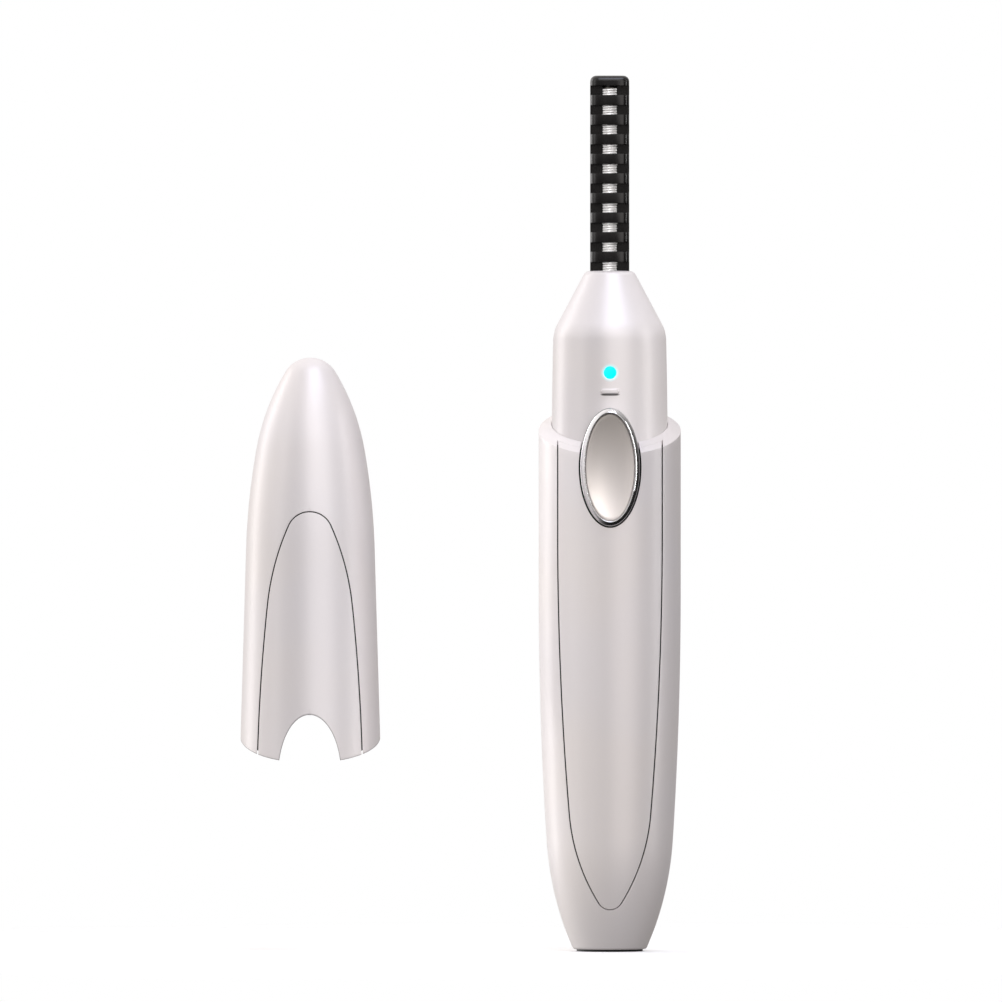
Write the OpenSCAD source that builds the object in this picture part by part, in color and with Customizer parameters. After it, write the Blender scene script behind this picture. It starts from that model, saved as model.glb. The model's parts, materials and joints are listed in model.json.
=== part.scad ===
// Heated eyelash curler: an upright wand and its bullet-shaped cap set down beside it.
// Millimetres. The origin is the centre of the wand's flat base, Z is up and the front faces -Y.

/* [Barrel] */
// Outside radius of the barrel where it is straight
barrel_r = 10.3; // [10.1:0.1:10.8]
// Wall thickness of the barrel casing
barrel_wall = 1.7; // [1.5:0.1:1.8]
// Height of the slanted rim on the barrel's axis
rim_z = 75.5; // [74.5:0.5:76]
// Rise of the rim for each millimetre towards the back
rim_slope = 0.35; // [0.25:0.05:0.4]
// Thickness of the front panel let into the barrel
panel_t = 0.9; // [0.7:0.1:1.0]

/* [Neck] */
// Outside radius of the neck where it leaves the barrel
neck_r = 8.4; // [8.3:0.05:8.4]
// Wall thickness of the neck
neck_wall = 1.25; // [1.1:0.05:1.3]

/* [Button] */
// Height of the middle of the oval button
button_z = 70.1; // [69.6:0.1:70.4]
// Half the width of the bright bezel round the button
bezel_half_w = 4.3; // [4.2:0.1:4.4]
// Half the height of the bezel
bezel_half_h = 8.5; // [8.3:0.1:8.6]
// How far the button goes in
button_travel = 0.4; // [0.2:0.1:0.4]

/* [Comb] */
// Width of the comb
comb_w = 5.66; // [5.4:0.02:5.7]
// Depth of the comb, front to back
comb_d = 5.0; // [4.8:0.1:5.1]
// Distance from one comb slot to the next
slot_pitch = 2.84; // [2.8:0.02:2.84]
// Height of one comb slot
slot_h = 1.38; // [1.2:0.02:1.5]

/* [Cap] */
// Outside radius of the cap at its mouth
cap_r = 10.12; // [10.0:0.02:10.3]
// Wall thickness of the cap
cap_wall = 1.1; // [1.0:0.05:1.15]
// Distance of the cap to the left of the wand
cap_left = 43.4; // [30:0.1:60]
// Height of the cap's mouth on its own axis
cap_z = 31; // [10:0.5:31]

/* [Hidden] */

$fn = 96;
arc_fn = 360;     // facets on the long gentle arcs
far = 40;         // longer than anything it has to cut
gap = 0.06;       // clearance round an inlaid panel

// A tapering outline is a start point [radius, height] and arcs of [radius, first, last angle],
// the angles measured from the axis.  Each arc stands slightly proud of the one before it and
// starts a little early, so the two cross cleanly.
arc_proud = 0.003;
arc_overlap = 3;

// Barrel, listed from its straight part downwards, so heights are negative here
straight_end = 52;
barrel_start = [barrel_r, -straight_end];
barrel_arcs = [[564, 0, 3.66], [46, 3.66, 26]];
barrel_top = 85;
casing_foot = 0.3;
cavity_floor = 2.2;
bore_r = 8.45;    // the part of the casing that holds the neck
bore_z = 58.5;

// Front panel outline, as arcs from its widest place down to its tip
panel_half_w = 7.8;
panel_wide_z = 60;
panel_arcs = [[480, 0, 4.8], [28.8, 4.8, 32]];

// Neck
neck_bottom = 59;
neck_straight_z = 71.5;
neck_start = [neck_r, neck_straight_z];
neck_arcs = [[700, 0, 1.4], [5.2, 1.4, 28]];
neck_lip_r = 3.8;
neck_lip_z = 98.05;
neck_top = 98.6;
neck_cavity_top = 94;
rib_z = 81.1;     // the small bar the cap clicks over
rib_w = 2.7;
rib_h = 0.85;
rib_proud = 0.28;

// Base
base_r = 4.8;
base_hole_r = 4.85;
socket_w = 7.5;
socket_d = 2.6;
socket_z = 0.7;
socket_h = 5.4;
socket_wall = 0.3;

// Button and its switch, measured along Y
bezel_back = -5.8;
bezel_front = -10.85;
bezel_crown_r = 14;
bezel_gap = 0.3;
bore_half_w = 3.62;
bore_half_h = 7.8;
button_side_gap = 0.05;
button_front = -10.45;
dish_bottom = -9.2;
dish_r_across = 5.2;
dish_r_along = 23;
flange_half_w = 4.1;
flange_half_h = 8.3;
flange_front = -5.78;
flange_t = 0.8;
button_hollow = -8.2;
hollow_half_w = 2.7;
hollow_half_h = 6.6;
stem_r = 1.2;
switch_w = 4.5;
switch_front = -3.9;
plunger_tip = -4.7;
plunger_r = 1.0;
contact_gap = 0.02;

// Circuit board
board_front = -2.3;
board_t = 1.0;
board_back = board_front + board_t;
board_w = 10;
board_bottom = 2.6;
board_top = 88;
board_foot_w = 6.6;
board_foot_top = 10;
led_z = 83.8;
led_t = 0.8;
light_pipe_r = 0.9;
light_pipe_back = board_front - led_t - 0.15;

// Battery
cell_r = 4;
cell_h = 40;
cell_z = 14;
cell_y = 2.9;
tab_w = 3;
tab_t = 0.2;

// Chassis, a half tube behind the battery with a grooved rail each side of the board
chassis_in_r = 7.0;
chassis_out_r = 7.75;
chassis_bottom = 26;
chassis_top = 58;
rail_x = 4.5;

// Comb and heater
comb_corner = 1.3;
comb_tip_round = 0.62;
comb_bottom = 89.5;
comb_top = 126.9;
slot_count = 10;
first_slot_z = 99.2;
slot_floor = -1.3;
coil_bore_r = 1.5;
coil_bore_top = 125.6;
coil_y = -0.45;
wire_r = 0.19;
coil_r = 1.16;
coil_pitch = slot_pitch / 6;
coil_turns = 59;
coil_bottom = 97.2;
core_r = 0.85;
core_bottom = 88.6;
core_top = 125.2;
lead_r = 0.25;
lead_x = 0.45;
lead_z = 86;
collar_bottom = 90.4;
collar_h = 2.4;
collar_r = 4.6;
sensor_r = 0.55;
sensor_y = 1.5;

// Cap, measured from its mouth
cap_lean = 1.667; // angle of its straight side from the axis
cap_shoulder_z = 27.25;
cap_start = [cap_r - cap_shoulder_z * tan(cap_lean), cap_shoulder_z];
cap_arcs = [[100, cap_lean, 10], [33, 10, 31]];
cap_skirt = 8;
cap_panel_t = 0.5;
cap_panel_half_w = 7.75;
cap_panel_wide_z = 10;
cap_panel_arcs = [[280, 0, 6], [38, 6, 24]];
notch_gap = 0.3;

// Where arc number i starts
function arc_start(start, arcs, i) = i == 0
  ? start
  : arc_start(start, arcs, i - 1) + arc_step(arcs[i - 1]);

// What one whole arc adds to [radius, height]
function arc_step(a) = a[0] * [cos(a[2]) - cos(a[1]), sin(a[2]) - sin(a[1])];

function arc_centre(start, arcs, i) =
  arc_start(start, arcs, i) - arcs[i][0] * [cos(arcs[i][1]), sin(arcs[i][1])];

// Half of a tapering outline, set in from the skin by inset
module tapered_outline(start, arcs, inset = 0) {
  for (i = [0 : len(arcs) - 1]) {
    centre = arc_centre(start, arcs, i);
    r = arcs[i][0] - inset + arc_proud * (i + 1);
    low = centre[1] + r * sin(arcs[i][1]) - arc_overlap;
    high = centre[1] + r * sin(arcs[i][2]);
    intersection() {
      translate(centre) circle(r, $fn = arc_fn);
      translate([0, low]) square([far, high - low]);
    }
  }
}

// The round tip that carries on from the last arc, as a whole circle centred on the axis
module outline_tip(start, arcs, inset = 0) {
  last = len(arcs) - 1;
  ends = arc_start(start, arcs, last) + arc_step(arcs[last]);
  angle = arcs[last][2];
  tip_r = ends[0] / cos(angle);
  translate([0, ends[1] - tip_r * sin(angle)])
    circle(tip_r - inset + arc_proud * (len(arcs) + 1));
}

// An oval given by its two half sizes
module oval(half_w, half_h) {
  scale([1, half_h / half_w]) circle(half_w);
}

module rounded_rect(w, h, r) {
  square([w - 2 * r, h], center = true);
  square([w, h - 2 * r], center = true);
  for (x = [-1, 1], y = [-1, 1])
    translate([x * (w / 2 - r), y * (h / 2 - r)]) circle(r);
}

// Pushes a front-view shape out along -Y, from back to front
module facing(back, front) {
  translate([0, back, 0])
    rotate([90, 0, 0])
      linear_extrude(back - front)
        children();
}

// Everything above the slanted plane through height z on the axis
module above_slant(z) {
  translate([0, 0, z])
    rotate([atan(rim_slope), 0, 0])
      translate([-far, -far, 0])
        cube([2 * far, 2 * far, far]);
}

// The barrel's skin as one solid, set in by inset
module barrel_form(inset = 0, floor_z = casing_foot) {
  rotate_extrude() {
    translate([0, straight_end - 1]) square([barrel_r - inset, barrel_top - straight_end + 1]);
    intersection() {
      mirror([0, 1]) tapered_outline(barrel_start, barrel_arcs, inset);
      translate([0, floor_z]) square([far, straight_end]);
    }
  }
}

// A tall arch with a rounded tip, from its widest height up to the tip
module arch(half_w, arcs, rise) {
  for (side = [0, 1]) mirror([side, 0]) tapered_outline([half_w, 0], arcs);
  outline_tip([half_w, 0], arcs);
  translate([-half_w, -rise]) square([2 * half_w, rise]);
}

module front_panel_outline(margin = 0) {
  translate([0, panel_wide_z]) mirror([0, 1]) arch(panel_half_w - margin, panel_arcs, far / 2);
}

module cap_panel_outline(margin = 0) {
  translate([0, -cap_panel_wide_z]) arch(cap_panel_half_w - margin, cap_panel_arcs, 2);
}

// The opening left round the bezel
module bezel_clearance() {
  facing(-4, -far)
    translate([0, button_z]) oval(bezel_half_w + bezel_gap, bezel_half_h + bezel_gap);
}

// --- Barrel ---------------------------------------------------------------------------------

module barrel_casing() {
  color("#EDE6E4") difference() {
    barrel_form();
    intersection() {
      barrel_form(barrel_wall, cavity_floor);
      cylinder(r = far, h = bore_z);
    }
    translate([0, 0, bore_z - 1]) cylinder(r = bore_r, h = far);
    translate([0, 0, -1]) cylinder(r = base_hole_r, h = cavity_floor + 2);
    above_slant(rim_z);
    difference() {
      facing(0, -far) front_panel_outline();
      barrel_form(panel_t + gap / 2, -1);
    }
    bezel_clearance();
  }
}

module front_panel() {
  color("#E4DCDA") difference() {
    intersection() {
      barrel_form();
      facing(0, -far) front_panel_outline(gap);
    }
    barrel_form(panel_t, -1);
    above_slant(rim_z);
    bezel_clearance();
  }
}

module base_plug() {
  color("#1B1B1D") difference() {
    cylinder(r = base_r, h = cavity_floor);
    translate([0, 0, -1])
      linear_extrude(cavity_floor + 2) rounded_rect(socket_w + 0.1, socket_d + 0.1, 0.7);
  }
}

// --- Neck -----------------------------------------------------------------------------------

// The neck's skin as one solid; the cone carries on from the last arc
module neck_form(inset, bottom, top) {
  ends = arc_start(neck_start, neck_arcs, 1) + arc_step(neck_arcs[1]);
  side = inset / cos(neck_arcs[1][2]);
  rotate_extrude() intersection() {
    union() {
      translate([0, bottom]) square([neck_r - inset, neck_straight_z + 1 - bottom]);
      tapered_outline(neck_start, neck_arcs, inset);
      polygon([
        [0, ends[1] - 1],
        [ends[0] - side, ends[1] - 1],
        [ends[0] - side + arc_proud, ends[1]],
        [neck_lip_r - side + arc_proud, neck_lip_z],
        [neck_lip_r - side + arc_proud, neck_top],
        [0, neck_top]
      ]);
    }
    translate([0, bottom]) square([far, top - bottom]);
  }
}

module neck_rib() {
  facing(0, -far)
    translate([0, rib_z]) rounded_rect(rib_w, rib_h, rib_h / 2 - 0.01);
}

module comb_section(margin = 0) {
  rounded_rect(comb_w + 2 * margin, comb_d + 2 * margin, comb_corner + margin);
}

module neck_shell() {
  color("#EDE6E4") difference() {
    union() {
      neck_form(0, neck_bottom, neck_top);
      intersection() {
        neck_rib();
        translate([0, 0, rib_z - 2]) cylinder(r = neck_r + rib_proud, h = 4);
      }
    }
    neck_form(neck_wall, neck_bottom - 1, neck_cavity_top);
    translate([0, 0, neck_cavity_top - 1]) linear_extrude(far) comb_section(0.05);
    facing(bezel_back + 1, -far)
      translate([0, button_z]) oval(bezel_half_w + 0.05, bezel_half_h + 0.05);
    facing(-3, -far) translate([0, led_z]) circle(light_pipe_r + 0.03);
  }
}

// --- Button ---------------------------------------------------------------------------------

// Stands everything on the crowned front face of the bezel
module bezel_crown() {
  translate([0, bezel_front + bezel_crown_r, button_z - far / 2])
    cylinder(r = bezel_crown_r, h = far);
}

module button_bezel() {
  color("#C9CBCE") intersection() {
    difference() {
      facing(bezel_back, -far) translate([0, button_z]) oval(bezel_half_w, bezel_half_h);
      facing(0, -far) translate([0, button_z]) oval(bore_half_w, bore_half_h);
    }
    bezel_crown();
  }
}

// Hollows the finger dish: curved one way across and a gentler way along
module dish_cutter() {
  translate([0, dish_bottom - dish_r_along, button_z])
    rotate([0, 90, 0])
      rotate_extrude(convexity = 4, $fn = arc_fn)
        translate([dish_r_along - dish_r_across, 0]) circle(dish_r_across);
}

module power_button() {
  color("#EFEAE6") {
    difference() {
      union() {
        facing(flange_front + 0.1, button_front)
          translate([0, button_z])
            oval(bore_half_w - button_side_gap, bore_half_h - button_side_gap);
        facing(flange_front + flange_t, flange_front)
          translate([0, button_z]) oval(flange_half_w, flange_half_h);
      }
      dish_cutter();
      difference() {
        facing(0, button_hollow) translate([0, button_z]) oval(hollow_half_w, hollow_half_h);
        facing(1, -far) translate([0, button_z]) circle(stem_r);
      }
    }
    facing(plunger_tip - contact_gap, flange_front)
      translate([0, button_z]) circle(stem_r);
  }
}

module switch_body() {
  color("#2B2B2E") difference() {
    facing(board_front, switch_front)
      translate([0, button_z]) square(switch_w, center = true);
    facing(board_front - 0.6, -far) translate([0, button_z]) circle(plunger_r + 0.05);
  }
}

module switch_plunger() {
  color("#D8D2C4")
    facing(switch_front + button_travel + 0.1, plunger_tip)
      translate([0, button_z]) circle(plunger_r);
}

// --- Electronics ----------------------------------------------------------------------------

module circuit_board() {
  color("#1F6B46") {
    translate([-board_w / 2, board_front, board_foot_top])
      cube([board_w, board_t, board_top - board_foot_top]);
    translate([-board_foot_w / 2, board_front, board_bottom])
      cube([board_foot_w, board_t, board_foot_top - board_bottom + 1]);
  }
}

// A chip on the front of the board, centred at height z
module chip(z, w, h, t) {
  color("#26262A")
    translate([-w / 2, board_front - t, z - h / 2]) cube([w, t, h]);
}

module control_chip() {
  chip(46, 5, 6.2, 1.2);
}

module charge_chip() {
  chip(22, 3, 3, 0.9);
}

module indicator_led() {
  color("#BFF8FF")
    translate([-0.8, board_front - led_t, led_z - 0.6]) cube([1.6, led_t, 1.2]);
}

module light_pipe() {
  color("#19E6F0") intersection() {
    facing(light_pipe_back, -far) translate([0, led_z]) circle(light_pipe_r);
    translate([0, 0, led_z - 2]) cylinder(r = neck_r - 0.06, h = 4);
  }
}

// --- Charging and battery -------------------------------------------------------------------

module charge_socket() {
  color("#B9BCC0") translate([0, 0, socket_z]) difference() {
    linear_extrude(socket_h) rounded_rect(socket_w, socket_d, 0.6);
    translate([0, 0, -1])
      linear_extrude(socket_h)
        rounded_rect(socket_w - 2 * socket_wall, socket_d - 2 * socket_wall, 0.4);
  }
}

module socket_tongue() {
  color("#202022")
    translate([-2.6, -0.35, socket_z + 0.5]) cube([5.2, 0.7, socket_h - 1.5]);
}

module battery_cell() {
  color("#4D79A8") translate([0, cell_y, cell_z]) cylinder(r = cell_r, h = cell_h);
}

// One flat tab from an end of the cell to the board
module battery_tabs() {
  color("#C7C9C6")
    for (z = [cell_z - tab_t, cell_z + cell_h])
      translate([-tab_w / 2, board_back, z]) cube([tab_w, cell_y - board_back + 2, tab_t]);
}

// The chassis in plan: everything behind the board, less the room for the cell
module inner_chassis() {
  color("#D9D6D2") translate([0, 0, chassis_bottom])
    linear_extrude(chassis_top - chassis_bottom) difference() {
      circle(chassis_out_r);
      translate([-far, -far + board_front - 0.7]) square([2 * far, far]);
      translate([-rail_x, -far / 2]) square([2 * rail_x, far / 2 + 1]);
      translate([-board_w / 2 - 0.05, board_front - 0.02])
        square([board_w + 0.1, board_t + 0.04]);
      intersection() {
        circle(chassis_in_r);
        translate([-far, board_back + 0.5]) square([2 * far, far]);
      }
    }
}

// --- Comb and heater ------------------------------------------------------------------------

// The comb bar with its tip corners rounded both ways
module comb_bar() {
  h = comb_top - comb_bottom;
  middle = (comb_top + comb_bottom) / 2;
  intersection() {
    translate([0, 0, comb_bottom]) linear_extrude(h) comb_section();
    translate([0, far / 2, 0])
      rotate([90, 0, 0])
        linear_extrude(far)
          translate([0, middle]) comb_side(comb_w, h);
    translate([-far / 2, 0, 0])
      rotate([90, 0, 90])
        linear_extrude(far)
          translate([0, middle]) comb_side(comb_d, h);
  }
}

// The comb seen square on: rounded at the top, square at the foot
module comb_side(w, h) {
  translate([-w / 2, -h / 2]) square([w, h - comb_tip_round]);
  translate([-w / 2 + comb_tip_round, 0]) square([w - 2 * comb_tip_round, h / 2]);
  for (x = [-1, 1])
    translate([x * (w / 2 - comb_tip_round), h / 2 - comb_tip_round]) circle(comb_tip_round);
}

module comb_guard() {
  color("#17171A") difference() {
    comb_bar();
    translate([0, coil_y, comb_bottom - 1])
      cylinder(r = coil_bore_r, h = coil_bore_top - comb_bottom + 1);
    for (i = [0 : slot_count - 1])
      translate([-far / 2, -far + slot_floor, first_slot_z + i * slot_pitch - slot_h / 2])
        cube([far, far, slot_h]);
  }
}

module comb_collar() {
  color("#3A3A3E") translate([0, 0, collar_bottom]) linear_extrude(collar_h) difference() {
    circle(collar_r);
    comb_section(0.02);
  }
}

module heater_core() {
  color("#E8E4DA")
    translate([0, coil_y, core_bottom]) cylinder(r = core_r, h = core_top - core_bottom);
}

// Close-wound wire on a thin sleeve
module heater_coil() {
  length = coil_pitch * coil_turns;
  color("#C9C7C4") translate([0, coil_y, coil_bottom]) rotate_extrude($fn = 48) {
    translate([coil_r - wire_r, 0]) square([wire_r, length]);
    for (i = [0 : coil_turns - 1])
      translate([coil_r, coil_pitch * (i + 0.5)]) circle(wire_r, $fn = 24);
  }
}

// Two wires from the foot of the core back to the board
module heater_leads() {
  color("#B5482E") for (x = [-lead_x, lead_x]) {
    translate([x, coil_y, lead_z]) cylinder(r = lead_r, h = core_bottom - lead_z);
    translate([x, coil_y, lead_z]) sphere(lead_r);
    translate([x, coil_y, lead_z])
      rotate([90, 0, 0]) cylinder(r = lead_r, h = coil_y - board_back);
  }
}

module heat_sensor() {
  color("#8A5A2B") translate([0, sensor_y, comb_bottom - sensor_r]) sphere(sensor_r);
}

// --- Cap ------------------------------------------------------------------------------------

// The cap's skin as one solid on its own axis, mouth at height 0
module cap_form(inset = 0) {
  skirt = cap_skirt + inset;
  rotate_extrude() {
    polygon([
      [0, -skirt],
      [cap_r - inset + skirt * tan(cap_lean), -skirt],
      [cap_start[0] - inset, cap_shoulder_z],
      [0, cap_shoulder_z]
    ]);
    tapered_outline(cap_start, cap_arcs, inset);
    intersection() {
      outline_tip(cap_start, cap_arcs, inset);
      square([far, 2 * far]);
    }
  }
}

// What the slanted mouth and the notch for the bezel take away
module cap_mouth() {
  mirror([0, 0, 1]) mirror([0, 1, 0]) above_slant(0);
  facing(0, -far)
    translate([0, button_z - rim_z])
      oval(bezel_half_w + notch_gap, bezel_half_h + notch_gap);
}

module at_cap() {
  translate([-cap_left, 0, cap_z]) children();
}

module cap_shell() {
  color("#EDE6E4") at_cap() difference() {
    cap_form();
    cap_form(cap_wall);
    cap_mouth();
    difference() {
      facing(0, -far) cap_panel_outline();
      cap_form(cap_panel_t + gap / 2);
    }
  }
}

module cap_front_panel() {
  color("#E4DCDA") at_cap() difference() {
    intersection() {
      cap_form();
      facing(0, -far) cap_panel_outline(gap);
    }
    cap_form(cap_panel_t);
    cap_mouth();
  }
}

barrel_casing();
front_panel();
neck_shell();
base_plug();
button_bezel();
power_button();
switch_body();
switch_plunger();
circuit_board();
control_chip();
charge_chip();
indicator_led();
light_pipe();
charge_socket();
socket_tongue();
battery_cell();
battery_tabs();
inner_chassis();
comb_guard();
comb_collar();
heater_core();
heater_coil();
heater_leads();
heat_sensor();
cap_shell();
cap_front_panel();
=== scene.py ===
"""Looks for the heated eyelash curler: smooth shells, chrome, coil and a painted glow round the
frame.

Shapes are worked out in millimetres and turned into metres when a piece is made.
Angles go round the wand from the front (-Y): 0 is the front, 90 degrees is +X.
"""
import json
import math

import bmesh
import bpy
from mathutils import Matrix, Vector


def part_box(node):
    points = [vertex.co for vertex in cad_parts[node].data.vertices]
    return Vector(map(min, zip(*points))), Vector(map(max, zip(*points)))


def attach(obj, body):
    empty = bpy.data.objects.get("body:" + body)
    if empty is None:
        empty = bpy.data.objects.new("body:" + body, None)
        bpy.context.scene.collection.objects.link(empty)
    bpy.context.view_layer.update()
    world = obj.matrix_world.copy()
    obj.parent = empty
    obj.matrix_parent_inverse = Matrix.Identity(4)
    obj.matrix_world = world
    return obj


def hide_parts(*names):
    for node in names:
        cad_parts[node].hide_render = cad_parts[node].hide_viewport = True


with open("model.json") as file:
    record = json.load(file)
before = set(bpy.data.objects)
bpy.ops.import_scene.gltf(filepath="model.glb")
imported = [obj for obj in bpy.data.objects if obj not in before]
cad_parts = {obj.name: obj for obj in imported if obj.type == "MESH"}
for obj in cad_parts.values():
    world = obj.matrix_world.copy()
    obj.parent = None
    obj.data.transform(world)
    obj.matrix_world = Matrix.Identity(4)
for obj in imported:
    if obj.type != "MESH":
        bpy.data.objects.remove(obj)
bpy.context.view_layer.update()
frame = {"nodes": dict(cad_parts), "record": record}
nodes = frame["nodes"]

MM = 0.001


def box_mm(node):
    """Lowest and highest corner of a CAD node, in millimetres."""
    lo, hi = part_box(node)
    return lo / MM, hi / MM


# ------------------------ sizes, from the CAD frame

casing_lo, casing_hi = box_mm("barrel_casing")
neck_lo, neck_hi = box_mm("neck_shell")
bezel_lo, bezel_hi = box_mm("button_bezel")
_, button_hi = box_mm("power_button")
light_lo, light_hi = box_mm("light_pipe")
comb_lo, comb_hi = box_mm("comb_guard")
coil_lo, coil_hi = box_mm("heater_coil")
cap_lo, cap_hi = box_mm("cap_shell")

BARREL_R = casing_hi.x
BARREL_WALL = 1.85
RIM_SLOPE = 0.35                               # rise of the slanted rim towards the back
RIM_LIFT = 0.5                                 # its rise for each millimetre in from the skin
RIM_Z = casing_hi.z - RIM_SLOPE * BARREL_R     # height of the rim on the axis
NECK_R = neck_hi.x
NECK_WALL = 1.25
BUTTON_Z = (bezel_lo.z + bezel_hi.z) / 2
BEZEL_W = bezel_hi.x                           # half sizes of the bezel's oval
BEZEL_H = (bezel_hi.z - bezel_lo.z) / 2
BEZEL_FRONT = bezel_lo.y
OVAL_GAP = 0.24                                # between the bezel and the barrel or the cap
LIGHT_Z = (light_lo.z + light_hi.z) / 2
LIGHT_R = light_hi.x
CAP_X = (cap_lo.x + cap_hi.x) / 2
CAP_LEAN = math.radians(1.667)                 # the cap's straight side leans this much
CAP_TIP = cap_hi.z
SEAM_GAP = 0.18                                # round an inlaid panel
PANEL_T = 0.9
CAP_PANEL_T = 0.5
CAP_WALL = 1.1
EDGE = 0.09                                    # rounding of moulded edges
FOOT_ROUND = 0.5                               # rounding of the barrel's lower edge
FOOT_RISE = 0.56                               # share of it below where it meets the side
CONE_LEAN = math.radians(28)                   # the neck's cone leans this much off the axis
LIP_R, LIP_Z = 3.8, 98.05                      # top of the cone, where its short lip starts
BAR_W, BAR_H, BAR_Z = 2.7, 0.85, 81.1          # the raised bar that the cap clicks over


# ------------------------ outlines

def even(a, b, count):
    return [a + (b - a) * i / count for i in range(count + 1)]


def asin_clamped(x):
    return math.asin(max(-1.0, min(1.0, x)))


class Outline:
    """A turned outline of straight pieces and arcs, giving radius and outward normal by height."""

    def __init__(self):
        self.spans = []

    def line(self, z0, z1, r0, r1):
        lean = math.atan2(r0 - r1, z1 - z0)
        normal = (math.cos(lean), math.sin(lean))
        self.spans.append((z0, z1, lambda z: (r0 + (r1 - r0) * (z - z0) / (z1 - z0), *normal)))

    def arc(self, z0, z1, cr, cz, radius):
        def at(z):
            dz = max(-radius, min(radius, z - cz))
            dr = math.sqrt(max(0.0, radius * radius - dz * dz))
            return cr + dr, dr / radius, dz / radius
        self.spans.append((z0, z1, at))

    def at(self, z, depth=0.0):
        """Radius and height of the skin at height z, moved in by depth."""
        for z0, z1, f in self.spans:
            if z <= z1 or (z0, z1, f) == self.spans[-1]:
                r, nr, nz = f(max(z, z0) if z0 == self.spans[0][0] else z)
                return r - depth * nr, z - depth * nz


def arc_step(radius, a0, a1):
    """How far an arc moves in and along while it turns from angle a0 to a1 off the axis."""
    return radius * (math.cos(a1) - math.cos(a0)), radius * (math.sin(a1) - math.sin(a0))


def barrel_outline():
    """Straight above, then a long gentle arc and a tighter one down to the foot."""
    straight_z, long_r, low_r = 52.0, 564.0, 46.0
    past_rim = 100.0
    turn = math.radians(3.66)
    dr, dz = arc_step(long_r, 0, turn)
    join_r, join_z = BARREL_R + dr, straight_z - dz
    low_cr, low_cz = join_r - low_r * math.cos(turn), join_z + low_r * math.sin(turn)
    foot_z = casing_lo.z + FOOT_ROUND * FOOT_RISE
    foot_lean = math.asin((low_cz - foot_z) / low_r)
    foot_cr = low_cr + (low_r - FOOT_ROUND) * math.cos(foot_lean)
    foot_cz = low_cz - (low_r - FOOT_ROUND) * math.sin(foot_lean)
    o = Outline()
    o.arc(casing_lo.z, foot_z, foot_cr, foot_cz, FOOT_ROUND)
    o.arc(foot_z, join_z, low_cr, low_cz, low_r)
    o.arc(join_z, straight_z, BARREL_R - long_r, straight_z, long_r)
    o.line(straight_z, past_rim, BARREL_R, BARREL_R)
    return o


def neck_outline():
    """Nearly straight, rounding over into a cone with a short upright lip."""
    straight_z, long_r, round_r = 71.5, 700.0, 5.2
    a1 = math.radians(1.4)
    dr1, dz1 = arc_step(long_r, 0, a1)
    r1, z1 = NECK_R + dr1, straight_z + dz1
    dr2, dz2 = arc_step(round_r, a1, CONE_LEAN)
    r2, z2 = r1 + dr2, z1 + dz2
    o = Outline()
    o.line(neck_lo.z, straight_z, NECK_R, NECK_R)
    o.arc(straight_z, z1, NECK_R - long_r, straight_z, long_r)
    o.arc(z1, z2, r1 - round_r * math.cos(a1), z1 - round_r * math.sin(a1), round_r)
    o.line(z2, LIP_Z, r2, LIP_R)
    o.line(LIP_Z, neck_hi.z, LIP_R, LIP_R)
    return o


def cap_outline():
    """Cap outline by height above its mouth: a leaning side, two arcs and a round tip."""
    mouth_r, shoulder_z, below_mouth = 10.12, 27.25, 8.0
    shoulder_r = mouth_r - shoulder_z * math.tan(CAP_LEAN)
    a2, a3 = math.radians(10), math.radians(31)
    mid_r, top_r = 100.0, 33.0
    dr1, dz1 = arc_step(mid_r, CAP_LEAN, a2)
    r1, z1 = shoulder_r + dr1, shoulder_z + dz1
    dr2, dz2 = arc_step(top_r, a2, a3)
    r2, z2 = r1 + dr2, z1 + dz2
    tip_r = r2 / math.cos(a3)
    o = Outline()
    o.line(-below_mouth, shoulder_z, mouth_r + below_mouth * math.tan(CAP_LEAN), shoulder_r)
    o.arc(shoulder_z, z1, shoulder_r - mid_r * math.cos(CAP_LEAN),
          shoulder_z - mid_r * math.sin(CAP_LEAN), mid_r)
    o.arc(z1, z2, r1 - top_r * math.cos(a2), z1 - top_r * math.sin(a2), top_r)
    o.arc(z2, z2 + tip_r, 0.0, z2 - tip_r * math.sin(a3), tip_r)
    o.tip_z = z2 - tip_r * math.sin(a3) + tip_r
    return o


class Arch:
    """Half of an arched seam seen from the front: x by the drop below its widest place."""

    def __init__(self, half_w, arcs):
        self.half_w = half_w
        self.circles = []                        # centre x and z, radius, first and last angle
        x, z = half_w, 0.0
        for radius, a0, a1 in arcs:
            centre = (x - radius * math.cos(a0), z - radius * math.sin(a0))
            self.circles.append((*centre, radius, a0, a1))
            dx, dz = arc_step(radius, a0, a1)
            x, z = x + dx, z + dz
        tip_r = x / math.cos(a1)
        self.circles.append((0.0, z - tip_r * math.sin(a1), tip_r, a1, math.pi / 2))

    def points(self, margin, count=14):
        """(x, drop) along the seam, set in by margin, from the tip to its widest place."""
        found = []
        for cx, cz, radius, a0, a1 in self.circles:
            r = radius - margin
            turn = even(a0, a1, count)[:-1]
            found += [(cx + r * math.cos(a), cz + r * math.sin(a)) for a in turn]
        found.append((0.0, cz + r))
        return found[::-1]

    def x(self, drop, margin):
        if drop <= 0:
            return self.half_w - margin
        for cx, cz, radius, _, a1 in self.circles:
            r = radius - margin
            a = asin_clamped((drop - cz) / r)
            if a <= a1:
                return cx + r * math.cos(a)
        return 0.0


# ------------------------ mesh building

pieces = {}


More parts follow.
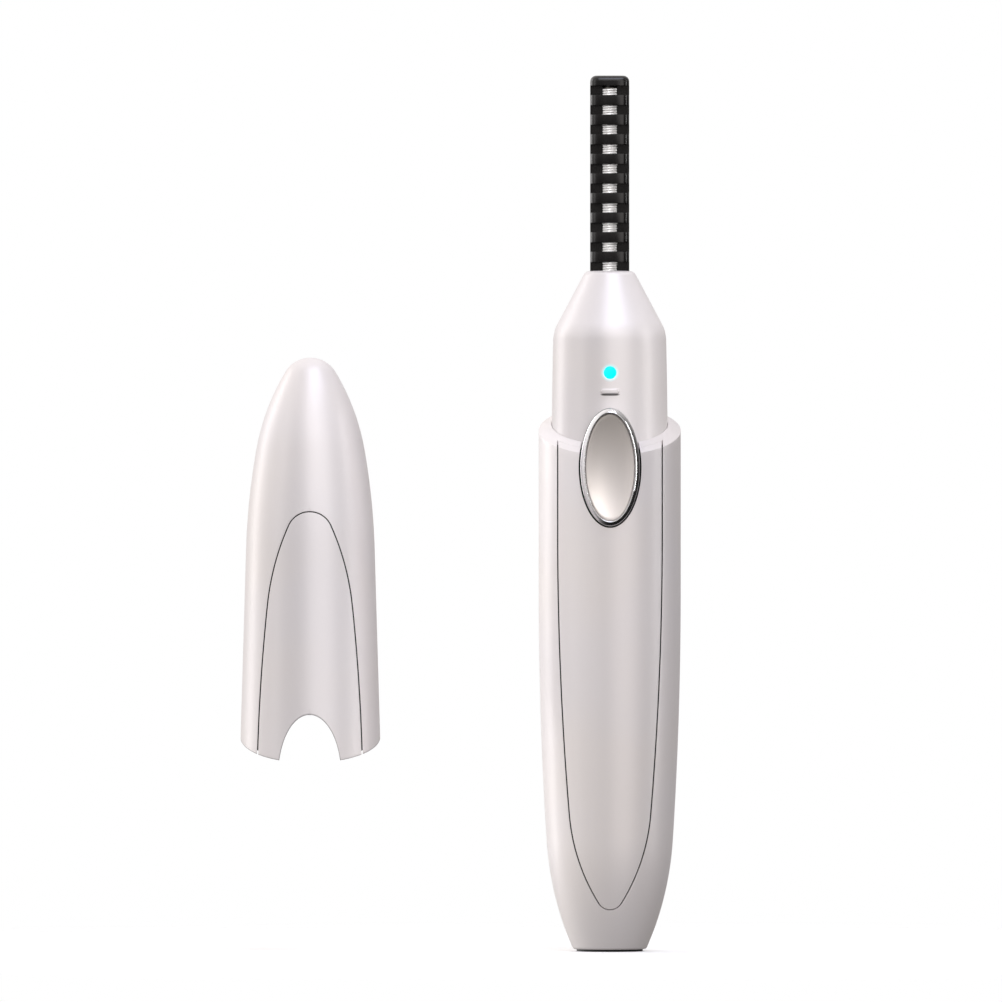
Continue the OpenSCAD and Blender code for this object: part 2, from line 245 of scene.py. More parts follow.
def finish_piece(name, bm, body, material, bevel=0.0, smooth=40):
    """Turns a bmesh in millimetres into a finished piece in metres that rides on a body and
    stands for the CAD node of the same name. Only marked edges are rounded, by bevel."""
    bmesh.ops.remove_doubles(bm, verts=bm.verts, dist=1e-5)
    bmesh.ops.dissolve_degenerate(bm, edges=bm.edges, dist=1e-6)
    bmesh.ops.recalc_face_normals(bm, faces=bm.faces)
    mesh = bpy.data.meshes.new(name)
    bm.to_mesh(mesh)
    bm.free()
    obj = bpy.data.objects.new(name, mesh)
    bpy.context.scene.collection.objects.link(obj)
    if bevel:
        mod = obj.modifiers.new("edges", "BEVEL")
        mod.width = bevel
        mod.segments = 3
        mod.limit_method = "WEIGHT"
        mod.use_clamp_overlap = True
        bpy.context.view_layer.update()
        evaluated = obj.evaluated_get(bpy.context.evaluated_depsgraph_get())
        made = bpy.data.meshes.new_from_object(evaluated)
        obj.modifiers.clear()
        obj.data = made
        made.name = name
    for v in obj.data.vertices:
        v.co *= MM
    obj.data.shade_smooth()
    obj.data.set_sharp_from_angle(angle=math.radians(smooth))
    obj.data.materials.clear()
    obj.data.materials.append(material)
    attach(obj, body)
    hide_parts(name)
    pieces[name] = obj


def layer_of(layers, name):
    """The float layer of this name, made if it isn't there yet."""
    return layers.float.get(name) or layers.float.new(name)


def shade_new(bm, before):
    """Marks the vertices added since there were this many as lying in deep shade."""
    layer = layer_of(bm.verts.layers, "shade")
    bm.verts.ensure_lookup_table()
    for v in bm.verts[before:]:
        v[layer] = 1.0


def round_turn(sides):
    """The angles of a full turn cut into this many steps."""
    return [2 * math.pi * i / sides for i in range(sides)]


def oval_ring(bm, half_w, half_h, middle_z, y_of, sides):
    """A ring of vertices round an oval that faces the front, each y_of(x) deep."""
    spots = [(half_w * math.cos(a), half_h * math.sin(a)) for a in round_turn(sides)]
    return [bm.verts.new((x, y_of(x), middle_z + z)) for x, z in spots]


def ring_faces(bm, rings, close=False):
    """Joins closed rings of vertices; close=True also fills the first and last."""
    for low, high in zip(rings, rings[1:]):
        for i in range(len(low)):
            bm.faces.new((low[i - 1], low[i], high[i], high[i - 1]))
    if close:
        bm.faces.new(rings[0][::-1])
        bm.faces.new(rings[-1])


def shell_mesh(bm, outer_rows, inner_rows, centre_x=0.0):
    """A closed wall from matching half grids of (radius, angle, height), mirrored left to right.
    The outer edges of its openings are marked for rounding."""
    weights = layer_of(bm.edges.layers, "bevel_weight_edge")
    pairs = {}

    def place(side, spot):
        r, a, z = spot
        return Vector((centre_x + side * r * math.sin(a), -r * math.cos(a), z))

    def pair(side, outside, inside):
        spot = place(side, outside)
        key = tuple(round(c, 4) for c in spot)
        if key not in pairs:
            pairs[key] = (bm.verts.new(spot), bm.verts.new(place(side, inside)))
        return pairs[key]

    skin = []
    for side in (1, -1):
        grid = [[pair(side, o, i) for o, i in zip(*two)] for two in zip(outer_rows, inner_rows)]
        for low, high in zip(grid, grid[1:]):
            for corners in zip(low, low[1:], high[1:], high):
                ring = [c for i, c in enumerate(corners) if c is not corners[i - 1]]
                if len(ring) > 2:
                    skin.append(bm.faces.new([c[0] for c in ring]))
                    bm.faces.new([c[1] for c in reversed(ring)])
    inside_of = {o: i for o, i in pairs.values()}
    for e in {e for f in skin for e in f.edges if len(e.link_faces) == 1}:
        a, b = e.verts
        bm.faces.new((a, b, inside_of[b], inside_of[a]))
        e[weights] = 1.0


class SeamedShell:
    """What the barrel and the cap share. v runs from the arch's tip towards the slanted rim:
    up for the barrel (sign 1) and down for the cap (sign -1). level_v is where rows start to
    lean over towards the rim, wide_v where the arch is widest and oval_v the oval's middle.
    base_z is the height of the outline's zero in the frame."""

    def __init__(self, outline, sign, rim_z, level_v, wide_v, arch, oval_v, base_z=0.0):
        self.outline, self.sign, self.rim_z = outline, sign, rim_z
        self.level_v, self.wide_v = level_v, wide_v
        self.arch, self.oval_v, self.base_z = arch, oval_v, base_z
        self.oval_a = BEZEL_W + OVAL_GAP
        self.oval_b = BEZEL_H + OVAL_GAP

    def point(self, v, angle, depth):
        """(radius, angle, height) on the skin moved in by depth."""
        r, z = self.outline.at(self.sign * v, depth)
        return r, angle, z + self.base_z

    def seam_x(self, v, margin):
        return self.arch.x(self.wide_v - v, margin)

    def seam(self, margin, until_v):
        """(x, v) along the seam, from the tip to until_v."""
        too_close = 0.2                          # a point this near the last one is left out
        along = [(x, self.wide_v - drop) for x, drop in self.arch.points(margin)]
        last = (self.seam_x(until_v, margin), until_v)
        return [p for p in along if p[1] < until_v - too_close] + [last]

    def rim_v(self, r, angle, depth):
        return self.sign * (self.rim_z - RIM_SLOPE * r * math.cos(angle) + RIM_LIFT * depth)

    def lean(self, start_v, share, angle, depth):
        """(radius, v) at this angle on a row share of the way from level at start_v to the rim."""
        v = start_v
        for _ in range(4):                       # the radius may change with height, so settle it
            r = self.outline.at(self.sign * v, 0)[0] - depth
            v = start_v + share * (self.rim_v(r, angle, depth) - start_v)
        return r, v

    def lean_row(self, start_v, share, depth, angles):
        row = []
        for a in angles:
            r, v = self.lean(start_v, share, a, depth)
            row.append((r, a, self.sign * v + self.base_z))
        return row

    def seam_angle(self, start_v, share, depth, margin):
        """Where a leaning row meets the seam, from a first guess that each round makes better."""
        angle = 0.7
        for _ in range(6):
            r, v = self.lean(start_v, share, angle, depth)
            angle = asin_clamped(self.seam_x(v, margin) / r)
        return angle

    def oval_angle(self, start_v, share, depth):
        """Where a leaning row meets the oval."""
        lo, hi = 0.0, math.radians(150)
        for _ in range(40):
            mid = (lo + hi) / 2
            v = self.oval_v - self.oval_b * math.cos(mid)
            r = self.outline.at(self.sign * v, 0)[0] - depth
            angle = asin_clamped(self.oval_a * math.sin(mid) / r)
            row_v = start_v + share * (self.rim_v(r, angle, depth) - start_v)
            lo, hi = (mid, hi) if v < row_v else (lo, mid)
        return angle

    def casing_rows(self, depth, far_stations, columns=64):
        """Everything but the panel's opening. far_stations are the levels beyond the seam's tip."""
        rows = []
        for v in far_stations:
            rows.append([self.point(v, a, depth) for a in even(0, math.pi, columns)])
        for x, v in self.seam(0, self.level_v):
            r, _, _ = self.point(v, 0, depth)
            angles = even(asin_clamped(x / r), math.pi, columns)
            rows.append([self.point(v, a, depth) for a in angles])
        for share in even(0, 1, 20)[1:]:
            start = self.seam_angle(self.level_v, share, depth, 0)
            rows.append(self.lean_row(self.level_v, share, depth, even(start, math.pi, columns)))
        return rows

    def panel_rows(self, depth, margin, columns=28):
        """The panel inside the seam, open where the oval passes."""
        oval_start = self.oval_v - self.oval_b
        rows = []
        for x, v in self.seam(margin, oval_start):
            r, _, _ = self.point(v, 0, depth)
            angles = [asin_clamped(x * t / r) for t in even(0, 1, columns)]
            rows.append([self.point(v, a, depth) for a in angles])
        for step in even(0, 1, 30)[1:]:
            share = step * step                  # closer together near the oval's narrow end
            ends = (self.oval_angle(oval_start, share, depth),
                    self.seam_angle(oval_start, share, depth, margin))
            rows.append(self.lean_row(oval_start, share, depth, even(*ends, columns)))
        return rows


DEG = math.radians(1)
barrel = SeamedShell(
    barrel_outline(), 1, RIM_Z, level_v=60.0, wide_v=60.0,
    arch=Arch(7.65, [(480.0, 0.0, 4.8 * DEG), (28.8, 4.8 * DEG, 32 * DEG)]), oval_v=BUTTON_Z)
cap_shape = cap_outline()
CAP_BASE = CAP_TIP - cap_shape.tip_z
cap = SeamedShell(
    cap_shape, -1, 0.0, level_v=-11.0, wide_v=10.0,
    arch=Arch(7.75, [(280.0, 0.0, 6 * DEG), (38.0, 6 * DEG, 24 * DEG)]),
    oval_v=RIM_Z - BUTTON_Z, base_z=CAP_BASE)


# ------------------------ material building

class Nodes:
    """A short way to write a node material."""

    def __init__(self, name):
        self.mat = bpy.data.materials.new(name)
        self.mat.use_nodes = True
        self.tree = self.mat.node_tree
        self.tree.nodes.clear()
        self.out = self.tree.nodes.new("ShaderNodeOutputMaterial")
        self.coords = self.tree.nodes.new("ShaderNodeTexCoord").outputs["Object"]

    def node(self, kind, **values):
        n = self.tree.nodes.new("ShaderNode" + kind)
        for key, value in values.items():
            if key in n.inputs.keys():
                self.put(n.inputs[key], value)
            else:
                setattr(n, key, value)
        return n

    def put(self, socket, value):
        if isinstance(value, bpy.types.NodeSocket):
            self.tree.links.new(value, socket)
        else:
            socket.default_value = value

    def noise(self, per_mm, detail=3.0, rough=0.55, stretch=None):
        """Noise with this many features to the millimetre, from 0 to 1."""
        source = self.coords
        if stretch:
            source = self.node("Mapping", Vector=self.coords, Scale=stretch).outputs[0]
        n = self.node("TexNoise", Vector=source, Scale=per_mm / MM, Detail=detail, Roughness=rough)
        return n.outputs["Fac"]

    def spread(self, fac, low, high, start=0.35, end=0.65, smooth=False):
        """fac between start and end, as a value between low and high."""
        n = self.node("MapRange", interpolation_type="SMOOTHSTEP" if smooth else "LINEAR")
        for key, value in (("Value", fac), ("From Min", start), ("From Max", end),
                           ("To Min", low), ("To Max", high)):
            self.put(n.inputs[key], value)
        return n.outputs[0]

    def mix(self, fac, a, b):
        n = self.node("Mix", data_type="RGBA")
        self.put(n.inputs[0], fac)
        self.put(n.inputs[6], a)
        self.put(n.inputs[7], b)
        return n.outputs[2]

    def maths(self, operation, a, b=0.0):
        n = self.node("Math", operation=operation)
        self.put(n.inputs[0], a)
        self.put(n.inputs[1], b)
        return n.outputs[0]

    def xyz_mm(self):
        """Where a point is, in millimetres."""
        scaled = self.node("VectorMath", operation="SCALE", Scale=1 / MM)
        self.put(scaled.inputs[0], self.coords)
        return self.node("SeparateXYZ", Vector=scaled.outputs[0]).outputs

    def far_from(self, spot_mm):
        """How far a point is from this spot, in metres."""
        away = self.node("VectorMath", operation="DISTANCE")
        self.put(away.inputs[0], self.coords)
        self.put(away.inputs[1], tuple(c * MM for c in spot_mm))
        return away.outputs["Value"]

    def bump(self, height, depth_mm):
        return self.node("Bump", Height=height, Distance=depth_mm * MM, Strength=1.0).outputs[0]

    def surface(self, **values):
        shader = self.node("BsdfPrincipled")
        for key, value in values.items():
            self.put(shader.inputs[key.replace("_", " ")], value)
        self.put(self.out.inputs["Surface"], shader.outputs[0])
        return self.mat


def rgb(r, g, b):
    return (r, g, b, 1.0)


def plastic(name, colour, roughness=0.35, coat=0.0, tint=0.06, grain_mm=0.004, grain_per_mm=7.0):
    """Moulded plastic: slow colour drift, uneven gloss and a fine moulded grain."""
    m = Nodes(name)
    drift = m.noise(0.08, detail=2.0)
    darker = rgb(*[c * (1 - tint) for c in colour])
    base = m.mix(m.spread(drift, 0, 1), darker, rgb(*colour))
    gloss = m.spread(m.noise(0.6, detail=4.0), roughness * 0.85, roughness * 1.15)
    grain = m.bump(m.noise(grain_per_mm, detail=3.0), grain_mm)
    return m.surface(Base_Color=base, Roughness=gloss, Normal=grain, Coat_Weight=coat,
                     Coat_Roughness=0.12)


DEEP_SHADE = rgb(0.02, 0.02, 0.02)
SHADE_DROP = 0.3                  # shade below the rim starts this far down


def pearl(name, colour, sheen=0.22, roughness=0.42, painted_glow_at=None, shade=None, rim_z=None):
    """Satin pearl plastic: a soft body with fine mica that gives it a broad metallic sheen.
    painted_glow_at is the middle of a lamp; round it the plastic gets a painted cyan glow that
    stands in for the lamp's light soaking into it.
    shade(nodes) gives 1 where the plastic is always in deep shade and 0 elsewhere.
    The shade in the seams ends at the rim, when rim_z is given."""
    m = Nodes(name)
    warm = rgb(colour[0], colour[1] * 0.985, colour[2] * 0.975)
    cool = rgb(colour[0] * 0.985, colour[1] * 0.985, colour[2] * 1.01)
    base = m.mix(m.spread(m.noise(0.05, detail=1.5), 0, 1), warm, cool)
    mica = m.spread(m.noise(3.0, detail=2.0), 0.0, 0.04, 0.2, 0.8)
    base = m.mix(mica, base, rgb(1.0, 0.97, 0.98))
    # painted shade: the plastic turns near-black where the shade attribute or the shade function
    # marks deep shade
    dark = m.node("Attribute", attribute_name="shade").outputs["Fac"]
    if rim_z:
        dark = m.maths("MULTIPLY", dark, below_rim(m, rim_z - SHADE_DROP, 0.2))
    if shade:
        dark = m.maths("MAXIMUM", dark, shade(m))
    base = m.mix(dark, base, DEEP_SHADE)
    gloss = m.spread(m.noise(0.15, detail=1.0), roughness - 0.02, roughness + 0.02, 0.1, 0.9)
    grain = m.bump(m.noise(3.0, detail=1.0), 0.0006)
    look = dict(Base_Color=base, Metallic=sheen, Roughness=gloss, Normal=grain, Coat_Weight=0.15,
                Coat_Roughness=0.3)
    # painted glow: cyan emission in the neck's plastic round the lamp
    if painted_glow_at:
        ring = (LIGHT_R * 0.9 * MM, LIGHT_R * 1.6 * MM)
        look["Emission_Color"] = rgb(0.0, 0.9, 1.0)
        look["Emission_Strength"] = m.spread(m.far_from(painted_glow_at), 0.35, 0.0, *ring, smooth=True)
    return m.surface(**look)


def below_rim(m, base_z, drop):
    """1 below the slanted rim, when it crosses the axis at base_z, and 0 from drop above it."""
    _, y, z = m.xyz_mm()
    above = m.maths("SUBTRACT", m.maths("SUBTRACT", z, base_z), m.maths("MULTIPLY", y, RIM_SLOPE))
    return m.spread(above, 1.0, 0.0, 0.0, drop)


def neck_shade(m):
    """Painted shade: the neck is dark down inside the barrel and in the undercut of its raised bar.
    """
    x, y, z = m.xyz_mm()
    inside = below_rim(m, RIM_Z - SHADE_DROP, 0.4)
    undercut_z, undercut_half_h = BAR_Z - BAR_H * 0.56, BAR_H * 0.2
    across = m.maths("DIVIDE", x, BAR_W * 0.5)
    along = m.maths("DIVIDE", m.maths("SUBTRACT", z, undercut_z), undercut_half_h)
    away = m.maths("ADD", m.maths("POWER", m.maths("ABSOLUTE", across), 4.0),
                   m.maths("POWER", m.maths("ABSOLUTE", along), 2.0))
    # painted shadow line in the undercut, kept to the front of the neck
    at_front = m.maths("LESS_THAN", y, 0.0)
    undercut = m.maths("MULTIPLY", m.spread(away, 0.85, 0.0, 0.5, 1.4), at_front)
    return m.maths("MAXIMUM", inside, undercut)


def cap_shade(m):
    """Painted shade: the cap's rounded edges are darker round its mouth and notch."""
    x, _, z = m.xyz_mm()
    notch_z = CAP_BASE + BUTTON_Z - RIM_Z
    across = m.maths("DIVIDE", m.maths("SUBTRACT", x, CAP_X), BEZEL_W + OVAL_GAP)
    along = m.maths("DIVIDE", m.maths("SUBTRACT", z, notch_z), BEZEL_H + OVAL_GAP)
    squares = m.maths("ADD", m.maths("POWER", across, 2.0), m.maths("POWER", along, 2.0))
    notch = m.spread(m.maths("SQRT", squares), 1.0, 0.0, 1.005, 1.03)
    return m.maths("MULTIPLY", m.maths("MAXIMUM", notch, below_rim(m, CAP_BASE, 0.16)), 0.6)


def metal(name, colour, roughness, scratch=0.3, brushed=None, tarnish=0.1, metallic=1.0):
    """Plated or drawn metal: gloss that varies, a little dullness, and fine lines if brushed."""
    m = Nodes(name)
    dull = rgb(*[c * (1 - tarnish) for c in colour])
    base = m.mix(m.spread(m.noise(0.5, detail=4.0), 0, 1), dull, rgb(*colour))
    lines = m.noise(3.0, detail=5.0, stretch=brushed)
    gloss = m.spread(lines, roughness * (1 - scratch), roughness * (1 + scratch))
    return m.surface(Base_Color=base, Metallic=metallic, Roughness=gloss,
                     Normal=m.bump(lines, 0.0006))


def lamp(name, colour, strength, middle, radius):
    """A lit lens, brightest in the middle and softer at its rim."""
    m = Nodes(name)
    edge = (radius * 0.45 * MM, radius * 1.1 * MM)
    fade = m.spread(m.far_from(middle), strength, strength * 0.55, *edge)
    fine = m.spread(m.noise(5.0), 0.96, 1.04)
    return m.surface(Base_Color=colour, Roughness=0.25, Emission_Color=colour,
                     Emission_Strength=m.maths("MULTIPLY", fade, fine), Coat_Weight=0.5)


def board_look(name):
    """Green solder mask with faint tracks under it."""
    m = Nodes(name)
    tracks = m.node("TexBrick", Vector=m.coords, Scale=1.0 / (2.2 * MM))
    tracks.inputs["Color1"].default_value = rgb(0.02, 0.16, 0.08)
    tracks.inputs["Color2"].default_value = rgb(0.025, 0.19, 0.095)
    tracks.inputs["Mortar"].default_value = rgb(0.05, 0.30, 0.15)
    tracks.inputs["Mortar Size"].default_value = 0.06
    base = m.mix(m.spread(m.noise(1.2), 0, 0.35), tracks.outputs["Color"], rgb(0.015, 0.12, 0.06))
    return m.surface(Base_Color=base, Roughness=m.spread(m.noise(2.0), 0.25, 0.4), Coat_Weight=0.3)


def wrap_look(name):
    """Shrunk wrap on the cell: a seam of gloss bands and fine wrinkles."""
    m = Nodes(name)
    wrinkle = m.noise(1.4, detail=5.0, stretch=(1.0, 1.0, 0.25))
    base = m.mix(m.spread(wrinkle, 0, 1), rgb(0.12, 0.27, 0.48), rgb(0.16, 0.34, 0.56))
    return m.surface(Base_Color=base, Roughness=m.spread(wrinkle, 0.2, 0.35),
                     Normal=m.bump(wrinkle, 0.02))


# ------------------------ the materials themselves

PEARL = (0.80, 0.765, 0.755)
# a lighter copy of the pearl for the neck and cap, painted lighter to match how they are lit
PEARL_PAINTED_LIGHTER = tuple(c * 1.01 for c in PEARL)
lamp_middle = (0.0, light_lo.y, LIGHT_Z)
led_middle = (0.0, -3.1, LIGHT_Z)
looks = {
    "pearl_white": pearl("pearl_white", PEARL, rim_z=RIM_Z),
    "pearl_neck": pearl("pearl_neck", PEARL_PAINTED_LIGHTER, painted_glow_at=lamp_middle, shade=neck_shade),
    "pearl_panel": pearl("pearl_panel", tuple(c * 0.98 for c in PEARL)),
    "pearl_cap": pearl("pearl_cap", PEARL_PAINTED_LIGHTER, shade=cap_shade),
    "button_pearl": pearl("button_pearl", (0.84, 0.785, 0.735), sheen=0.5, roughness=0.52),
    "bright_chrome": metal("bright_chrome", (0.83, 0.83, 0.84), 0.09, scratch=0.4, tarnish=0.05),
    "light_cyan": lamp("light_cyan", rgb(0.0, 0.92, 1.0), 1.15, lamp_middle, LIGHT_R),
    "lamp": lamp("lamp", rgb(0.6, 0.97, 1.0), 2.0, led_middle, 1.0),
    "comb_black": plastic("comb_black", (0.010, 0.009, 0.0088), 0.2, tint=0.3, grain_mm=0.001,
                          grain_per_mm=2.0),
    "coil_wire": metal("coil_wire", (0.97, 0.955, 0.95), 0.34, brushed=(1, 1, 6), metallic=0.5),
    "base_black": plastic("base_black", (0.02, 0.02, 0.022), 0.45, tint=0.25, grain_mm=0.01),
    "switch_black": plastic("switch_black", (0.03, 0.03, 0.034), 0.5, tint=0.2, grain_mm=0.008),
    "switch_cream": plastic("switch_cream", (0.68, 0.62, 0.50), 0.4, tint=0.1),
    "chip_black": plastic("chip_black", (0.025, 0.025, 0.03), 0.55, tint=0.2, grain_mm=0.01),
    "chassis_grey": plastic("chassis_grey", (0.58, 0.57, 0.55), 0.45, tint=0.08, grain_mm=0.006),
    "seal_grey": plastic("seal_grey", (0.04, 0.04, 0.045), 0.6, tint=0.2, grain_mm=0.01),
    "core_ceramic": plastic("core_ceramic", (0.80, 0.76, 0.68), 0.5, tint=0.12, grain_mm=0.01),
    "lead_copper": plastic("lead_copper", (0.42, 0.09, 0.04), 0.25, coat=0.4, tint=0.15),
    "sensor_bead": plastic("sensor_bead", (0.27, 0.11, 0.04), 0.2, coat=0.5, tint=0.2),
    "socket_steel": metal("socket_steel", (0.70, 0.70, 0.69), 0.3, brushed=(8, 1, 1)),
    "tab_nickel": metal("tab_nickel", (0.66, 0.64, 0.60), 0.35, brushed=(1, 8, 1)),
    "board_green": board_look("board_green"),
    "cell_blue": wrap_look("cell_blue"),
}


# ------------------------ barrel and cap

def seamed_pieces(shape, centre_x, wall, panel_t, far_stations, names, body, finish):
    """The casing with its long arched opening, and the panel let into it."""
    casing_look, panel_look = finish
    casing_name, panel_name = names
    bm = bmesh.new()
    skin, lining = shape.casing_rows(0, far_stations), shape.casing_rows(wall, far_stations)
    shell_mesh(bm, skin, lining, centre_x)
    floor_depth = panel_t + 0.03                 # a hair below the back of the panel
    before = len(bm.verts)
    shell_mesh(bm, shape.panel_rows(floor_depth, 0), shape.panel_rows(wall, 0), centre_x)
    # painted shade on the floor below the panel's seam
    shade_new(bm, before)
    finish_piece(casing_name, bm, body, casing_look, bevel=EDGE)
    bm = bmesh.new()
    shell_mesh(bm, shape.panel_rows(0, SEAM_GAP), shape.panel_rows(panel_t, SEAM_GAP), centre_x)
    finish_piece(panel_name, bm, body, panel_look, bevel=EDGE)


def make_barrel():
    tip_v = barrel.seam(0, barrel.level_v)[0][1]
    foot_top = casing_lo.z + FOOT_ROUND
    stations = even(casing_lo.z, foot_top, 8) + even(foot_top, tip_v, 14)[1:-1]
    seamed_pieces(barrel, 0.0, BARREL_WALL, PANEL_T, stations, ("barrel_casing", "front_panel"),
                  "wand", (looks["pearl_white"], looks["pearl_panel"]))


def make_cap():
    tip_v = cap.seam(0, cap.level_v)[0][1]
    round_start = cap_shape.spans[-1][0]
    tip_r = cap_shape.tip_z - round_start
    stations = [-(round_start + tip_r * math.sin(a)) for a in even(math.pi / 2, 0, 16)]
    stations += even(-round_start, tip_v, 24)[1:-1]
    seamed_pieces(cap, CAP_X, CAP_WALL, CAP_PANEL_T, stations, ("cap_shell", "cap_front_panel"),
                  "cap", (looks["pearl_cap"], looks["pearl_cap"]))


# ------------------------ neck

def neck_stations():
    """Levels up the neck as (radius, height, outward normal, half width of a front opening)."""
    skin = neck_outline()

    def on_skin(z, x=0.0):
        r, _ = skin.at(z)
        r1, z1 = skin.at(z, 1.0)
        return r, z, r - r1, z - z1, x

    def past_opening(middle, half_w, half_h, count):
        turn = even(0, math.pi, count)
        return [on_skin(middle - half_h * math.cos(a), half_w * math.sin(a)) for a in turn]

    oval_w, oval_h = BEZEL_W + 0.05, BEZEL_H + 0.05
    hole_r = LIGHT_R + 0.03
    stations = [on_skin(z) for z in even(neck_lo.z, BUTTON_Z - oval_h, 4)]
    stations += past_opening(BUTTON_Z, oval_w, oval_h, 48)
    stations += [on_skin(z) for z in even(BUTTON_Z + oval_h, LIGHT_Z - hole_r, 8)]
    stations += past_opening(LIGHT_Z, hole_r, hole_r, 24)
    stations += [on_skin(z) for z in even(LIGHT_Z + hole_r, LIP_Z, 60)]
    mouth_r = 2.3
    top_round = (neck_hi.z - LIP_Z) / (1 - math.sin(CONE_LEAN))
    for a in even(CONE_LEAN, math.pi / 2, 10)[1:]:
        r = LIP_R + top_round * (math.cos(a) - math.cos(CONE_LEAN))
        z = neck_hi.z - top_round * (1 - math.sin(a))
        stations.append((r, z, math.cos(a), math.sin(a), 0.0))
    stations.append((mouth_r, neck_hi.z, 0.0, 1.0, 0.0))
    return stations


def neck_rows(stations, depth, columns=72):
    least_r = 0.5
    rows = []
    for r, z, nr, nz, x in stations:
        r_in = max(least_r, r - depth * nr)
        start = asin_clamped(x / r_in)
        rows.append([(r_in, a, z - depth * nz) for a in even(start, math.pi, columns)])
    return rows


def add_bar(bm):
    """The small raised bar that the cap clicks over."""
    sides = 32
    sunk, rise_all, behind = 0.06, 0.34, 0.5     # its foot and its back are inside the wall
    top_share = 0.45                             # how much of its half height is still there on top
    half_run, end_r = (BAR_W - BAR_H) / 2, BAR_H / 2
    rings = []
    for rise in even(0, math.pi / 2, 6):
        r = end_r * (top_share + (1 - top_share) * math.cos(rise))
        lift = rise_all * math.sin(rise)
        ring = []
        for a in round_turn(sides):
            x = r * math.cos(a) + (half_run if math.cos(a) >= 0 else -half_run)
            y = -math.sqrt(NECK_R ** 2 - x * x) - lift + sunk
            ring.append(bm.verts.new((x, y, BAR_Z + r * math.sin(a))))
        rings.append(ring)
    back = [bm.verts.new(v.co + Vector((0, behind, 0))) for v in rings[0]]
    ring_faces(bm, [back] + rings, close=True)


def make_neck():
    bm = bmesh.new()
    stations = neck_stations()
    shell_mesh(bm, neck_rows(stations, 0), neck_rows(stations, NECK_WALL))
    add_bar(bm)
    finish_piece("neck_shell", bm, "wand", looks["pearl_neck"], bevel=EDGE)


# ------------------------ button and bezel

INNER_W, INNER_H = 3.62, 7.8      # half sizes of the bezel's bore
BUTTON_SIDES = 128                # steps round the oval


def crown(x):
    """How far back the bezel's front has curved at x, from its crown in the middle."""
    crown_r = 14.0
    return crown_r - math.sqrt(crown_r ** 2 - x * x)


def make_bezel():
    """A chrome ring with a rounded top, swept round the oval."""
    bm = bmesh.new()
    outer_drop, top_share, inner_drop = 0.46, 0.8, 0.12
    chamfer_share, chamfer_drop = 0.03, 0.06
    # share of the way from the outer to the inner oval, and drop behind the front (None: the back)
    section = [(0.0, None), (0.0, outer_drop + chamfer_drop), (chamfer_share, outer_drop)]
    section += [(top_share * t, outer_drop * (1 - t) ** 1.25) for t in even(0.1, 1, 9)]
    for a in even(0, math.pi / 2, 6)[1:]:
        share = top_share + (1 - top_share) * math.sin(a)
        section.append((share, inner_drop * (1 - math.cos(a))))
    section += [(1.0, None)]
    rings = []
    for share, drop in section:
        half_w = BEZEL_W + (INNER_W - BEZEL_W) * share
        half_h = BEZEL_H + (INNER_H - BEZEL_H) * share

        def y_of(x, drop=drop):
            return bezel_hi.y if drop is None else BEZEL_FRONT + crown(x) + drop

        rings.append(oval_ring(bm, half_w, half_h, BUTTON_Z, y_of, BUTTON_SIDES))
    ring_faces(bm, rings + [rings[0]])
    finish_piece("button_bezel", bm, "wand", looks["bright_chrome"])


def make_button():
    """The dished oval, its side wall, the flange that keeps it in and the stem to the switch."""
    bm = bmesh.new()
    half_w, half_h = INNER_W - 0.05, INNER_H - 0.05
    rim_y, dish_y = -10.45, -9.2
    flange_w, flange_h = 4.1, 8.3
    flange_front, flange_back = -5.78, -4.98
    stem_r = 1.2
    edge_r = 0.14
    dish_share, dish_middle, dish_power = 0.955, 0.02, 2.1
    rings = []

    def ring(w, h, y, crowned=True):
        def y_of(x):
            return y + crown(x) if crowned else y
        rings.append(oval_ring(bm, w, h, BUTTON_Z, y_of, BUTTON_SIDES))

    ring(stem_r, stem_r, button_hi.y, crowned=False)
    ring(stem_r, stem_r, flange_back, crowned=False)
    ring(flange_w, flange_h, flange_back, crowned=False)
    ring(flange_w, flange_h, flange_front, crowned=False)
    ring(half_w, half_h, flange_front, crowned=False)
    for a in even(0, math.pi / 2, 5):
        inset = edge_r * (1 - math.cos(a))
        ring(half_w - inset, half_h - inset, rim_y + edge_r * (1 - math.sin(a)))
    for share in even(dish_share, dish_middle, 30):
        bowl = max(0.0, 1 - share / dish_share)
        depth = (dish_y - rim_y) * (1 - (1 - bowl) ** dish_power)
        ring(half_w * share, half_h * share, rim_y + depth)
    ring_faces(bm, rings, close=True)
    finish_piece("power_button", bm, "button", looks["button_pearl"])


# ------------------------ light, comb and coil

def make_light():
    """The light guide, a rod with a softly domed face that follows the neck."""
    bm = bmesh.new()
    face_r, edge_r = -light_lo.y, 0.1
    dome = 0.1                                   # its edge lies this far behind its middle

    def ring(r, drop):
        def y_of(x):
            return drop - math.sqrt(face_r ** 2 - x * x)
        return oval_ring(bm, r, r, LIGHT_Z, y_of, 48)

    rings = [oval_ring(bm, LIGHT_R, LIGHT_R, LIGHT_Z, lambda x: light_hi.y, 48)]
    for a in even(0, math.pi / 2, 4):
        rings.append(ring(LIGHT_R - edge_r * (1 - math.cos(a)), dome + edge_r * (1 - math.sin(a))))
    for r in (0.6, 0.4, 0.2, 0.05):
        rings.append(ring(r, dome * (r / LIGHT_R) ** 2))
    ring_faces(bm, rings, close=True)
    finish_piece("light_pipe", bm, "wand", looks["light_cyan"])


